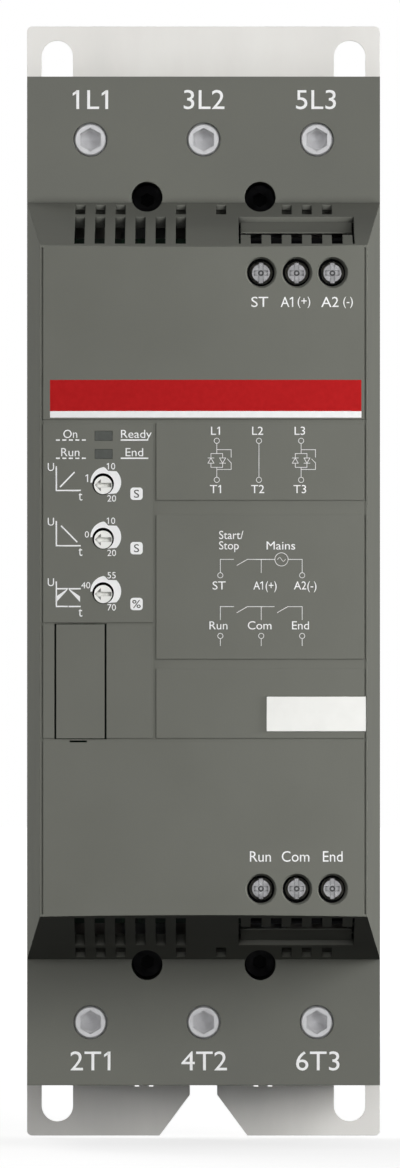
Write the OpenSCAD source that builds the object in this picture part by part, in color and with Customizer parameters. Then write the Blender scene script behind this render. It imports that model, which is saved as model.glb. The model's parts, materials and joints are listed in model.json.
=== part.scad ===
// Soft starter for panel mounting: three poles, two of them controlled, with a heat sink behind.
// Modelled lying on its back: x across, y up the wall, z out from the wall. stand() then raises it.

/* [Mounting plate] */
// Thickness of the sheet steel
plate_t = 2; // [1.5:0.1:3]
// How far the plate stands out past each side of the body
plate_lip = 0.4; // [0.2:0.1:3]
// How far the plate stands out past each end of the body
plate_lug = 11.1; // [10.5:0.1:16]
// Radius of the plate's corners
plate_corner_r = 1; // [0.5:0.1:3]
// Width of a mounting slot
slot_w = 6.2; // [4.5:0.1:6.6]
// Length of a mounting slot from end to end
slot_len = 10.6; // [9:0.1:11]
// From the plate's side to the middle of a slot
slot_side_inset = 6; // [5:0.1:10]
// From the plate's end to the middle of a slot
slot_end_inset = 8.1; // [7.5:0.1:8.2]
// Width of the cable notch at the plate's lower end
notch_w = 5.4; // [4:0.1:8]
// Width of the notch where it opens at the edge
notch_mouth_w = 17.4; // [12:0.1:19]
// Height of the notch's slanted mouth
notch_mouth_h = 8.1; // [6:0.1:9]
// Height of the notch in all
notch_h = 16; // [12:0.5:20]
// Width of one of the four slits beside the notch
slit_w = 0.9; // [0.6:0.1:1.2]
// Length of a slit
slit_len = 4.3; // [3:0.1:6]
// From the middle to the inner slit
slit_inner_x = 10.4; // [9.8:0.1:12]
// Distance between the two slits of a pair
slit_pitch = 2.8; // [1.6:0.1:3.4]
// How far the slits reach below the body
slit_drop = 1.4; // [0.8:0.1:2.4]

/* [Body] */
// Height of the body at the wall
body_h = 197.8; // [190:0.2:230]
// Distance between neighbouring poles
pole_pitch = 22; // [21:0.5:26]
// Width of one terminal chamber
chamber_w = 17.6; // [17.6:0.1:19]
// Wall between an outer chamber and the outside
outer_wall = 3.5; // [2.8:0.1:6]
// Wall thickness of the mouldings
wall = 2.2; // [1.6:0.1:2.6]
// Thickness of a shoulder's front wall
face_wall = 2.4; // [1.6:0.1:3.4]
// Draft of each side between the sleeve and the shoulder face
side_draft = 0.3; // [0.1:0.05:0.6]
// Draft of each end between the sleeve and the shoulder face
end_draft = 0.85; // [0.2:0.05:1.5]
// Height of a terminal shoulder
shoulder_h = 24.55; // [24:0.05:27]
// Radius of the sleeve's corners
body_corner_r = 1.2; // [0.5:0.1:2]
// Room behind a clamp cage
cage_room = 3; // [2:0.1:6]

/* [Nose] */
// How far the nose rises from the shoulder face to its front rim
nose_rise = 65.5; // [62:0.5:80]
// How far each side of the nose leans in
nose_side_run = 2.85; // [1:0.05:4]
// How far each end of the nose leans in
nose_end_run = 9; // [6:0.1:10]
// Height of the front's crown
crown = 2.5; // [1.5:0.1:4]
// Thickness of the front cover
cover_t = 2; // [1.6:0.1:2.4]
// Height of the raised fields on the front cover
field_h = 0.35; // [0.2:0.05:0.6]
// Width of the line along each side of the front cover
edge_line_w = 0.35; // [0.2:0.05:0.6]

/* [Vents and wire openings] */
// Width of a vent
vent_w = 1.93; // [1.4:0.01:2.4]
// Distance between vents
vent_pitch = 3.9; // [3.4:0.1:4]
// From the middle to the outermost vent
vent_reach = 23.9; // [23:0.1:25]
// Length of a vent next to the shoulder
near_vent_len = 14.8; // [10:0.1:16]
// From the shoulder face to the near vents
near_vent_start = 3.1; // [2:0.1:4]
// Wall left round the near vents
near_vent_wall = 1; // [0.8:0.1:1.4]
// From the shoulder face to the long vents
far_vent_start = 21.8; // [21:0.1:26]
// Material left between a long vent and the front cover
vent_rim = 1.2; // [0.8:0.1:3]
// Width of a control wire opening
wire_opening_w = 22.3; // [22.1:0.1:23]
// Length of the sloping step before a wire opening
wire_step_len = 8.4; // [5:0.1:10]
// Depth of that step at its rear end
wire_step_depth = 1; // [0.5:0.1:1.5]
// Wall left at the front end of that step
wire_step_lip = 0.3; // [0.2:0.1:1]
// Length of a wire opening
wire_opening_len = 19.6; // [18:0.1:21]
// Width of a gap in the comb in front of a wire opening
comb_gap_w = 2.1; // [1.5:0.1:2.6]
// Width of the slit at each end of a wire opening
end_slit_w = 0.4; // [0.3:0.05:0.8]
// From the rear end of the step to those slits
end_slit_start = 0.6; // [0.3:0.1:4]

/* [Heat sink] */
// Height of the fins
fin_h = 50; // [36:0.5:60]
// Thickness of a fin
fin_t = 1.8; // [1.2:0.1:2.4]
// Distance between fins
fin_pitch = 5.6; // [5:0.1:7]
// Thickness of the base that carries the modules
sink_base_t = 10; // [9:0.1:14]
// Air gap between the fins' ends and the sleeve
sink_end_gap = 2.5; // [1:0.1:5]
// Width of a rib that takes the plate screws
rib_w = 7.4; // [6.6:0.1:9]

/* [Power parts] */
// Height of a thyristor module
module_h = 19; // [17:0.5:28]
// Width of a thyristor module
module_w = 20; // [16:0.5:20.6]
// Length of a thyristor module
module_len = 76; // [70:1:80]
// Thickness of a bar
bar_t = 3; // [2:0.1:4]
// Width of a bar
bar_w = 12; // [9:0.1:12.2]
// Space between the ends of a line bar and a load bar
bar_gap = 16; // [12:0.5:20]
// Height of a bypass relay
relay_h = 26; // [20:0.5:27]
// Width of a bypass relay
relay_w = 19; // [15:0.5:20.5]
// Length of a bypass relay
relay_len = 44; // [36:1:48]

/* [Main terminals] */
// From the shoulder's outer edge to a screw's axis
terminal_inset = 12.25; // [11.5:0.05:13]
// Diameter of the screw's thread
screw_d = 8; // [6:0.1:8]
// Diameter of the screw's head
screw_head_d = 6.2; // [5.2:0.1:6.2]
// Size of the hex socket across flats
socket_af = 4; // [3:0.1:4.4]
// Depth of the hex socket
socket_depth = 3; // [2.5:0.1:6]
// Length of the thread
screw_thread_len = 24.8; // [22:0.1:30]
// How far the head lies behind the shoulder face
screw_recess = 0.4; // [0.3:0.1:1.6]
// Room for a cable behind the bar
cable_room = 12; // [10:0.1:12]
// Length of a clamp cage along the cable
cage_len = 12; // [8:0.1:14]
// Thickness of the cage's threaded wall
cage_nut_t = 5; // [4:0.1:6]
// Thickness of the cage's other walls
cage_wall = 2; // [1.5:0.1:2]
// Width of a cable entry
entry_w = 14; // [11:0.1:15]
// Depth of a cable entry
entry_h = 15; // [12:0.1:18]

/* [Housing screws] */
// Diameter of a screw well
well_d = 6; // [5.8:0.1:6.6]
// From the shoulder's inner edge to a well's axis
well_offset = 1.1; // [0.8:0.1:1.6]
// Thickness of a well's floor
well_floor = 6; // [3:0.1:10]

/* [Control terminals] */
// Distance between control screws
control_pitch = 6.87; // [6.8:0.01:7.1]
// From the middle to the centre of the control terminals
control_x = 17.9; // [17.4:0.05:18.2]
// From the front's end to the control screws
control_inset = 5.3; // [5.1:0.1:5.9]
// Diameter of a hole over a control screw
control_hole_d = 6; // [5:0.1:6.4]
// Diameter of a control screw's head
control_head_d = 3.46; // [3.2:0.02:3.8]
// Height of a terminal block
block_h = 28; // [27:0.5:30]

/* [Front] */
// From the middle to the dials
dial_x = -19.3; // [-19.6:0.1:-18.6]
// Height of the middle dial
dial_y = 7.93; // [7.6:0.01:8.3]
// Distance between dials
dial_pitch = 10.46; // [9.6:0.01:10.6]
// Diameter of a dial
dial_d = 3.47; // [3:0.01:3.7]
// Gap round a dial
dial_gap = 0.33; // [0.2:0.01:0.4]
// Width of an indicator window
window_w = 3.3; // [2.4:0.1:3.8]
// Height of an indicator window
window_h = 1.77; // [1.2:0.01:2]
// Width of the fieldbus cover
fieldbus_w = 9.3; // [8.8:0.1:9.6]
// Height of the fieldbus cover
fieldbus_h = 21.9; // [20:0.1:22]
// Width of the marker tag
tag_w = 19.05; // [15:0.05:19.2]
// Height of the marker tag
tag_h = 6.65; // [4:0.05:7.2]

/* [Hidden] */
$fn = 48;
// Running and fitting clearances
fit = 0.1;
slide_gap = 0.3;
seat_gap = 0.05;
cut = 1;

// Depths from the wall outwards, from piece to piece
sink_front = plate_t + fin_h + sink_base_t;
bar_rear = sink_front + module_h;
bar_front = bar_rear + bar_t;
tip_gap = 0.2;
screw_tip = bar_front + tip_gap;
screw_step = screw_tip + screw_thread_len;
step_gap = 0.6;
face_rear = screw_step + step_gap;
shoulder_d = face_rear + face_wall;
screw_front = shoulder_d - screw_recess;
cage_rear = bar_rear - cable_room - cage_wall;
split_d = cage_rear - cage_room;
deck_t = min(1.8, split_d - sink_front - fit);
nut_gap = 2;
cage_front = bar_front + nut_gap + cage_nut_t;
rim_d = shoulder_d + nose_rise;
front_d = rim_d + crown;
relay_foot_h = 2;
relay_top = bar_front + relay_foot_h + relay_h;
board_t = 1.6;
board_drop = 33.1;
control_board_d = rim_d - board_drop;
control_top = control_board_d + board_t;

// Half sizes of the body
shoulder_half_w = pole_pitch + chamber_w / 2 + outer_wall;
sleeve_half_w = shoulder_half_w + side_draft;
sleeve_half_h = body_h / 2;
shoulder_half_h = sleeve_half_h - end_draft;
nose_base_half = shoulder_half_h - shoulder_h;
plate_w = 2 * (sleeve_half_w + plate_lip);
plate_h = body_h + 2 * plate_lug;
terminal_y = shoulder_half_h - terminal_inset;
well_x = pole_pitch / 2;
well_y = nose_base_half + well_offset;
function nose_half_w(d) = shoulder_half_w - (d - shoulder_d) * nose_side_run / nose_rise;
function nose_half_h(d) = nose_base_half - (d - shoulder_d) * nose_end_run / nose_rise;
rim_half_w = nose_half_w(rim_d);
rim_half_h = nose_half_h(rim_d);
crown_r = (rim_half_w * rim_half_w + crown * crown) / (2 * crown);
function crown_d(x) = front_d - crown_r + sqrt(crown_r * crown_r - x * x);

// Heat sink
sink_side_gap = 0.4;
sink_w = 2 * (sleeve_half_w - wall - sink_side_gap);
sink_len = body_h - 2 * (wall + sink_end_gap);
fin_gaps = floor((sink_w - fin_t) / fin_pitch);
plate_screw_x = 2.5 * fin_pitch;
plate_screw_inset = 14;
plate_screw_y = sink_len / 2 - plate_screw_inset;
plate_screw_d = 4;
plate_screw_head_d = 7.4;
plate_screw_len = 12;
plate_screw_af = 2.5;
plate_socket_depth = 1.6;
plate_skin = 0.2;

// Shadow line between the sleeve and the front housing
parting_w = 0.8;
parting_depth = 0.5;

// Air slots in the sleeve
grille_w = fin_pitch - fin_t - 4 * fit;
grille_start = 4;
side_vent_w = 2.2;
side_vent_pitch = 6;
side_vent_reach = 42;
side_vent_start = 12;
side_vent_rest = 8;

// Housing screws
housing_screw_d = 4;
housing_head_d = well_d - 4 * fit;
housing_head_h = 4;
housing_socket_af = 2.5;
housing_socket_low = 1.5;
boss_wall = 1.5;
boss_d = well_d + 2 * boss_wall;
housing_bite = 8;

// Power parts
bar_end_gap = 6;
bar_outer = shoulder_half_h - bar_end_gap;
module_flange_t = 6;
module_flange_half = 5;
module_screw_y = module_len / 2 + module_flange_half;
module_screw_d = 5;
module_pad_h = 2;
module_pad_half = 5;
pan_head_d = 8;
pan_head_h = 3.2;
pan_socket_af = 3;
pan_socket_low = 1.4;
bar_screw_y = module_len / 2 - 7;
bar_screw_depth = 9;
insulator_y = module_screw_y + 9;
relay_foot_half = 4;
relay_foot_side = 1;
relay_foot_y = bar_gap / 2 + 2 * relay_foot_half;

// Boards, each a clearance in from the walls round it
board_side_gap = 1.6;
board_end_gap = 4.6;
board_corner_r = 2;
function board_w(d) = 2 * (nose_half_w(d) - wall - board_side_gap);
function board_h(d) = 2 * (nose_half_h(d) - wall - board_end_gap);
spacer_af = 5;
spacer_x = board_w(control_top) / 2 - 4;
spacer_y = board_h(control_top) / 2 - 16;

// Main clamp cages
cage_bar_gap = 0.5;
cage_corner_r = 1.5;
cage_inner_w = bar_w + 2 * cage_bar_gap;
cage_w = cage_inner_w + 2 * cage_wall;
entry_lift = 0.5;
entry_corner_r = 3;

// Control terminals
control_y = rim_half_h - control_inset;
block_w = wire_opening_w - 8 * fit;
block_top = control_top + block_h;
block_back = 7;
block_gap = 0.4;
block_floor = 0.8;
contact_lift = 6;
contact_rear = control_top + contact_lift;
contact_t = 1;
contact_half_w = 2;
contact_back = 5;
control_screw_d = 3;
control_tip = contact_rear + contact_t + tip_gap;
control_head_sink = 6;
control_head_rear = block_top - control_head_sink;
control_head_h = 2.5;
control_head_gap = 0.5;
control_bevel = 0.35;
control_bevel_depth = 1;
control_head_web = 1;
control_cage_w = 6;
control_cage_wall = 0.8;
control_cage_len = 5.2;
control_cage_lift = 1.2;
control_cage_rear = control_top + control_cage_lift;
control_nut_gap = 0.6;
control_nut_t = 2;
control_nut_front = contact_rear + contact_t + control_nut_gap + control_nut_t;
pocket_gap = 0.3;

// Front cover fields and windows, from their lowest to their highest corner
field_gap = 0.6;
left_field_x = -9.7;
right_field_x = left_field_x + field_gap;
edge_x = rim_half_w;
edge_line_inset = 0.45;
edge_line_end = 0.5;
edge_line_depth = 0.4;
fields = [
    [-edge_x, 31, edge_x, rim_half_h + cut],
    [-edge_x, -8, left_field_x, 30.2],
    [-edge_x, -30.2, left_field_x, -8.5],
    [right_field_x, 15.5, edge_x, 30.3],
    [right_field_x, -15, edge_x, 12.7],
    [right_field_x, -30.2, edge_x, -16.9],
    [-edge_x, -rim_half_h - cut, edge_x, -30.7],
];
window_x = -19.2;
window_ys = [27.85, 24.35];
window_recess = 0.05;
light_guide_half = 1.2;
fieldbus_x = -23.65;
fieldbus_y = -19.3;
fieldbus_t = 1.6;
fieldbus_side_gap = 0.35;
fieldbus_gap = 0.15;
fieldbus_rim = 1.3;
fieldbus_grip = 3;
fieldbus_ring = 0.9;
socket_drop = 4.5;
socket_front = rim_d - socket_drop;
socket_depth_in = 13;
socket_floor = socket_front - socket_depth_in;
pin_pitch = 3;
pin_d = 1;
pin_h = 3;
latch_w = 3.3;
latch_h = 0.35;
latch_x = fieldbus_x - 0.4;
latch_y = fieldbus_y - fieldbus_h / 2 - 0.75;
tag_margin = 0.3;
tag_right = edge_x - tag_margin;
tag_y = -25.55;
tag_t = 0.8;
tag_bed = 0.5;
dial_ys = [for (i = [1, 0, -1]) dial_y + i * dial_pitch];
pot_w = 9;
pot_h = 8;
dial_shaft_d = 2.4;
dial_skirt = 5;
dial_hole_lift = 0.6 * dial_gap;

POLES = [1, 2, 3];
function pole_x(pole) = (pole - 2) * pole_pitch;
function control_pole_x(pole) = control_x + (pole - 2) * control_pitch;

// Raises a piece from its back onto the wall
module stand() {
    rotate([90, 0, 0]) children();
}

// A copy above the middle and its mirror image below
module both_ends() {
    for (m = [0, 1]) mirror([0, m, 0]) children();
}

// A profile of height and depth, drawn along the width
module along_x(len) {
    translate([-len / 2, 0, 0]) rotate([90, 0, 90]) linear_extrude(len) children();
}

// A profile of width and depth, drawn along the height
module along_y(len) {
    translate([0, len / 2, 0]) rotate([90, 0, 0]) linear_extrude(len) children();
}

// A box from its lowest corner to its highest
module span(low, high) {
    translate(low) cube(high - low);
}

module rounded_rect(w, h, r) {
    square([w - 2 * r, h], center = true);
    square([w, h - 2 * r], center = true);
    for (x = [-1, 1], y = [-1, 1]) translate([x * (w / 2 - r), y * (h / 2 - r)]) circle(r);
}

module slot_shape(w, len) {
    square([w, len - w], center = true);
    for (y = [-1, 1]) translate([0, y * (len - w) / 2]) circle(d = w);
}

module hex(af, h) {
    rotate(30) cylinder(d = af / cos(30), h = h, $fn = 6);
}

// The cylinder whose front is the crowned face, drawn in from it by inset
module crown_body(inset) {
    translate([0, 0, front_d - crown_r]) rotate([90, 0, 0])
        cylinder(r = crown_r - inset, h = 2 * body_h, center = true, $fn = 180);
}

// Outside of the shoulders and the nose, with the nose running on past its rim
module housing_form() {
    top_d = front_d + cut;
    intersection() {
        along_x(4 * sleeve_half_w) polygon([
            [-sleeve_half_h, split_d], [sleeve_half_h, split_d],
            [shoulder_half_h, shoulder_d], [nose_base_half, shoulder_d],
            [nose_half_h(top_d), top_d], [-nose_half_h(top_d), top_d],
            [-nose_base_half, shoulder_d], [-shoulder_half_h, shoulder_d],
        ]);
        along_y(2 * body_h) polygon([
            [-sleeve_half_w, split_d], [sleeve_half_w, split_d],
            [shoulder_half_w, shoulder_d], [nose_half_w(top_d), top_d],
            [-nose_half_w(top_d), top_d], [-shoulder_half_w, shoulder_d],
        ]);
    }
}

// Hollow inside the shoulders and the nose
module housing_hollow() {
    low = split_d - cut;
    top_d = front_d + cut;
    intersection() {
        along_x(4 * sleeve_half_w) polygon([
            [-nose_base_half + wall, low], [nose_base_half - wall, low],
            [nose_base_half - wall, shoulder_d], [nose_half_h(top_d) - wall, top_d],
            [-nose_half_h(top_d) + wall, top_d], [-nose_base_half + wall, shoulder_d],
        ]);
        along_y(2 * body_h) polygon([
            [-shoulder_half_w + wall, low], [shoulder_half_w - wall, low],
            [shoulder_half_w - wall, shoulder_d], [nose_half_w(top_d) - wall, top_d],
            [-nose_half_w(top_d) + wall, top_d], [-shoulder_half_w + wall, shoulder_d],
        ]);
    }
}

module mounting_plate() {
    color("gainsboro") difference() {
        linear_extrude(plate_t) difference() {
            rounded_rect(plate_w, plate_h, plate_corner_r);
            for (x = [-1, 1], y = [-1, 1])
                translate([x * (plate_w / 2 - slot_side_inset), y * (plate_h / 2 - slot_end_inset)])
                    slot_shape(slot_w, slot_len);
            translate([0, -plate_h / 2]) plate_notch();
            for (x = [-1, 1], slit_x = [slit_inner_x, slit_inner_x + slit_pitch])
                translate([x * slit_x - slit_w / 2, -sleeve_half_h - slit_drop]) square([slit_w, slit_len]);
        }
        for (x = [-1, 1], y = [-1, 1]) translate([x * plate_screw_x, y * plate_screw_y, 0])
            plate_screw_form(fit, 0);
    }
}

// Slanted mouth and round-ended slot, measured from the plate's lower edge
module plate_notch() {
    polygon([
        [-notch_mouth_w / 2, -cut], [notch_mouth_w / 2, -cut], [notch_mouth_w / 2, 0],
        [notch_w / 2, notch_mouth_h], [-notch_w / 2, notch_mouth_h], [-notch_mouth_w / 2, 0],
    ]);
    translate([-notch_w / 2, 0]) square([notch_w, notch_h - notch_w / 2]);
    translate([0, notch_h - notch_w / 2]) circle(d = notch_w);
}

// Countersunk screw from the wall side, grown by gap for its hole
module plate_screw_form(gap, recess) {
    head_h = plate_t - plate_skin;
    translate([0, 0, recess])
        cylinder(d1 = plate_screw_head_d + 2 * gap, d2 = plate_screw_d + 2 * gap, h = head_h);
    translate([0, 0, recess]) cylinder(d = plate_screw_d + 2 * gap, h = plate_screw_len + gap);
}

module plate_screws() {
    color("silver") for (x = [-1, 1], y = [-1, 1]) translate([x * plate_screw_x, y * plate_screw_y, 0])
        difference() {
            plate_screw_form(0, fit);
            translate([0, 0, -cut]) hex(plate_screw_af, cut + plate_socket_depth);
        }
}

module heat_sink() {
    color("silver") difference() {
        along_y(sink_len) {
            translate([-sink_w / 2, plate_t + fin_h]) square([sink_w, sink_base_t]);
            for (i = [0 : fin_gaps])
                translate([(i - fin_gaps / 2) * fin_pitch - fin_t / 2, plate_t]) square([fin_t, fin_h + cut]);
            for (x = [-1, 1]) translate([x * plate_screw_x - rib_w / 2, plate_t])
                square([rib_w, fin_h + cut]);
        }
        for (x = [-1, 1], y = [-1, 1]) {
            translate([x * plate_screw_x, y * plate_screw_y, 0])
                cylinder(d = plate_screw_d + 2 * fit, h = plate_screw_len + 2 * fit);
            translate([x * well_x, y * well_y, sink_front - housing_bite - fit])
                cylinder(d = housing_screw_d + 2 * fit, h = housing_bite + cut);
            translate([x * pole_pitch, y * module_screw_y, sink_front - housing_bite - fit])
                cylinder(d = module_screw_d + 2 * fit, h = housing_bite + cut);
        }
    }
}

module rear_housing() {
    deck_y = nose_base_half - wall;
    grille_low = plate_t + grille_start;
    grille_high = plate_t + fin_h - grille_start;
    vent_low = plate_t + side_vent_start;
    vent_high = plate_t + fin_h - side_vent_rest;
    first_vent_y = sleeve_half_h - side_vent_reach;
    color("dimgray") difference() {
        union() {
            translate([0, 0, plate_t]) linear_extrude(split_d - plate_t) difference() {
                rounded_rect(2 * sleeve_half_w, body_h, body_corner_r);
                square([2 * (sleeve_half_w - wall), body_h - 2 * wall], center = true);
            }
            both_ends() span([-sleeve_half_w + wall / 2, deck_y, split_d - deck_t],
                             [sleeve_half_w - wall / 2, sleeve_half_h - wall / 2, split_d]);
            // Tongues that close the bar notches behind the bars
            both_ends() for (pole = POLES) translate([pole_x(pole), 0, 0])
                span([-bar_w / 2, deck_y, split_d - deck_t],
                     [bar_w / 2, nose_base_half - fit, bar_rear - seat_gap]);
        }
        // Shadow line below the front housing
        translate([0, 0, split_d - parting_w]) linear_extrude(parting_w + cut) difference() {
            square([4 * sleeve_half_w, 2 * body_h], center = true);
            square([2 * (sleeve_half_w - parting_depth), body_h - 2 * parting_depth], center = true);
        }
        // Air slots in line with the fins' gaps
        for (i = [1 : fin_gaps - 2]) translate([(i + 0.5 - fin_gaps / 2) * fin_pitch, 0, 0])
            span([-grille_w / 2, -body_h, grille_low], [grille_w / 2, body_h, grille_high]);
        both_ends() for (i = [0 : 4]) translate([0, first_vent_y + side_vent_pitch * i, 0])
            span([-2 * sleeve_half_w, 0, vent_low], [2 * sleeve_half_w, side_vent_w, vent_high]);
        both_ends() for (x = [-1, 1]) translate([x * well_x, well_y, split_d - deck_t - cut])
            cylinder(d = housing_screw_d + 4 * fit, h = deck_t + 2 * cut);
    }
}

module front_housing() {
    color("dimgray") difference() {
        intersection() {
            union() {
                difference() {
                    housing_form();
                    housing_hollow();
                    both_ends() for (pole = POLES) translate([pole_x(pole), 0, 0]) terminal_chamber();
                }
                both_ends() for (x = [-1, 1]) translate([x * well_x, well_y, split_d])
                    cylinder(d = boss_d, h = shoulder_d - split_d - face_wall / 2);
            }
            housing_form();
            crown_body(cover_t + seat_gap);
        }
        both_ends() {
            for (pole = POLES) translate([pole_x(pole), 0, 0]) terminal_cuts();
            for (x = [-1, 1]) translate([x * well_x, well_y, 0]) {
                translate([0, 0, split_d + well_floor]) cylinder(d = well_d, h = nose_rise + shoulder_d);
                translate([0, 0, split_d - cut]) cylinder(d = housing_screw_d + 4 * fit, h = shoulder_d);
            }
            slope_vents();
            wire_opening();
        }
    }
}

// Room for one clamp, open to the back
module terminal_chamber() {
    span([-chamber_w / 2, nose_base_half, split_d - cut],
         [chamber_w / 2, shoulder_half_h - face_wall, face_rear]);
}

// Cable entry, bar notch and screw hole of one chamber
module terminal_cuts() {
    entry_middle = bar_rear - cable_room / 2 + entry_lift;
    translate([0, sleeve_half_h, entry_middle]) along_y(4 * face_wall)
        rounded_rect(entry_w, entry_h, entry_corner_r);
    span([-bar_w / 2 - slide_gap, nose_base_half - wall - cut, split_d - cut],
         [bar_w / 2 + slide_gap, nose_base_half + cut, bar_front]);
    translate([0, terminal_y, face_rear - cut])
        cylinder(d = screw_head_d + 4 * fit, h = face_wall + 2 * cut);
}

// Two rows of vents through the upper slope
module slope_vents() {
    near_columns = [0, 1, 2, 5, 7];
    mirrored_columns = [0, 1, 2];
    far_columns = [0 : 5];
    near_low = shoulder_d + near_vent_start;
    far_low = shoulder_d + far_vent_start;
    far_high = crown_d(vent_reach) - cover_t - vent_rim;
    xs = [
        for (i = near_columns) -vent_reach + i * vent_pitch,
        for (i = mirrored_columns) vent_reach - i * vent_pitch,
    ];
    for (x = xs) vent(x, near_low, near_low + near_vent_len, vent_w);
    along_x(2 * (vent_reach + vent_w)) wall_relief(near_low - cut, near_low + near_vent_len + cut);
    for (i = far_columns) vent(-vent_reach + i * vent_pitch, far_low, far_high, vent_w);
}

// Profile cut from behind to thin the slope's wall between two depths
module wall_relief(low, high) {
    polygon([
        [nose_half_h(low) - wall - cut, low], [nose_half_h(low) - near_vent_wall, low],
        [nose_half_h(high) - near_vent_wall, high], [nose_half_h(high) - wall - cut, high],
    ]);
}

// One slot through the slope between two depths
module vent(x, low, high, w) {
    span([x - w / 2, nose_half_h(high) - 2 * wall, low], [x + w / 2, shoulder_half_h, high]);
}

// Stepped opening for the control wires, with a comb in front of it
module wire_opening() {
    step_low = shoulder_d + far_vent_start;
    low = step_low + wire_step_len;
    high = low + wire_opening_len;
    comb_high = crown_d(vent_reach) - cover_t - vent_rim;
    translate([control_x, 0, 0]) {
        along_x(wire_opening_w) polygon([
            [nose_half_h(step_low) - wire_step_depth, step_low],
            [shoulder_half_h, step_low],
            [shoulder_half_h, low + fit],
            [nose_half_h(low + fit) - wall + wire_step_lip, low + fit],
        ]);
        vent(0, low, high, wire_opening_w);
        for (i = [-2 : 2]) vent(i * vent_pitch, high - cut, comb_high, comb_gap_w);
        for (side = [-1, 1])
            vent(side * (wire_opening_w - end_slit_w) / 2, step_low + end_slit_start, comb_high, end_slit_w);
    }
}

module housing_screws() {
    head_low = split_d + well_floor;
    color("black") both_ends() for (x = [-1, 1]) translate([x * well_x, well_y, 0]) difference() {
        union() {
            translate([0, 0, sink_front - housing_bite])
                cylinder(d = housing_screw_d, h = head_low - sink_front + housing_bite + cut);
            translate([0, 0, head_low]) cylinder(d = housing_head_d, h = housing_head_h);
        }
        translate([0, 0, head_low + housing_socket_low]) hex(housing_socket_af, housing_head_h);
    }
}

// Crowned shell with raised fields
module front_cover() {
    color("dimgray") difference() {
        union() {
            intersection() {
                housing_form();
                difference() {
                    crown_body(field_h);
                    crown_body(cover_t);
                }
                span([-plate_w, -body_h, shoulder_d + nose_rise / 2], [plate_w, body_h, front_d + cut]);
            }
            intersection() {
                housing_form();
                difference() {
                    crown_body(0);
                    crown_body(cover_t / 2);
                }
                union() for (f = fields)
                    span([f[0], f[1], rim_d - crown], [f[2], f[3], front_d + cut]);
            }
            cover_hooks();
        }
        // Lines along both sides
        for (x = [-1, 1]) translate([x * (edge_x - edge_line_inset), 0, 0])
            span([-edge_line_w / 2, edge_line_end - rim_half_h, rim_d - edge_line_depth],
                 [edge_line_w / 2, rim_half_h - edge_line_end, front_d]);
        for (y = dial_ys) translate([dial_x, y + dial_hole_lift, rim_d - crown])
            cylinder(d = dial_d + 2 * dial_gap, h = 3 * crown);
        for (y = window_ys) translate([window_x, y, 0]) window_block(seat_gap);
        both_ends() for (pole = POLES) control_hole(control_pole_x(pole));
        span([fieldbus_x - fieldbus_w / 2 - fieldbus_side_gap, fieldbus_y - fieldbus_h / 2 - fieldbus_gap,
              rim_d - 2 * crown],
             [fieldbus_x + fieldbus_w / 2 + fieldbus_side_gap, fieldbus_y + fieldbus_h / 2 + fieldbus_gap,
              front_d + cut]);
        span([latch_x - latch_w / 2, latch_y, rim_d - 2 * crown],
             [latch_x + latch_w / 2, latch_y + latch_h, front_d + cut]);
        intersection() {
            span([tag_right - tag_w - fit, tag_y - tag_h / 2 - fit, rim_d - crown],
                 [tag_right + fit, tag_y + tag_h / 2 + fit, front_d + cut]);
            difference() {
                crown_body(-cut);
                crown_body(tag_bed);
            }
        }
    }
}

// Bevelled hole over a control screw, square to the crown
module control_hole(x) {
    hole_r = control_hole_d / 2 - control_bevel;
    rear = crown_r - 2 * cover_t;
    front = crown_r + control_bevel_depth;
    translate([0, 0, front_d - crown_r]) rotate([0, asin(x / crown_r), 0]) translate([0, control_y, 0])
        rotate_extrude() polygon([
            [0, rear], [hole_r, rear], [hole_r, crown_r - control_bevel_depth],
            [hole_r + 2 * control_bevel, front], [0, front],
        ]);
}

// Four hooks that grip inside the nose's side walls
module cover_hooks() {
    hook_w = 10;
    hook_t = 1.4;
    hook_depth = 7;
    hook_low = rim_d - cover_t - hook_depth;
    hook_gap = 0.25;
    hook_inset = 20;
    hook_x = rim_half_w - wall - hook_gap;
    hook_y = rim_half_h - hook_inset;
    for (side = [0, 1], y = [-1, 1]) mirror([side, 0, 0])
        span([hook_x - hook_t, y * hook_y - hook_w / 2, hook_low],
             [hook_x, y * hook_y + hook_w / 2, crown_d(hook_x) - cover_t / 2]);
}

// A sheet that follows the crown, from its lowest to its highest corner
module crowned_sheet(low, high, rear, proud) {
    intersection() {
        span([low[0], low[1], rim_d - 2 * crown], [high[0], high[1], front_d + 2 * cut]);
        difference() {
            crown_body(-proud);
            crown_body(rear);
        }
    }
}

module marker_tag() {
    color("whitesmoke")
        crowned_sheet([tag_right - tag_w, tag_y - tag_h / 2], [tag_right, tag_y + tag_h / 2],
                      tag_bed - fit / 2, tag_t - tag_bed);
}

module fieldbus_cover() {
    low = [fieldbus_x - fieldbus_w / 2, fieldbus_y - fieldbus_h / 2];
    high = [fieldbus_x + fieldbus_w / 2, fieldbus_y + fieldbus_h / 2];
    grip_inset = fieldbus_rim + slide_gap;
    grip_low = socket_front - fieldbus_grip;
    color("dimgray") {
        crowned_sheet(low, high, fieldbus_t, 0);
        translate([fieldbus_x, fieldbus_y, 0]) difference() {
            union() {
                tray_wall(slide_gap, socket_front + fit, crown_d(low[0]) - fieldbus_t / 2);
                tray_wall(grip_inset, grip_low, socket_front + fit + seat_gap);
            }
            tray_wall(grip_inset + fieldbus_ring, grip_low - cut, crown_d(fieldbus_x) - fieldbus_t / 2);
        }
    }
}

// A block as large as the fieldbus cover, drawn in by inset, between two depths
module tray_wall(inset, low, high) {
    translate([0, 0, low]) linear_extrude(high - low)
        square([fieldbus_w - 2 * inset, fieldbus_h - 2 * inset], center = true);
}

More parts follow.
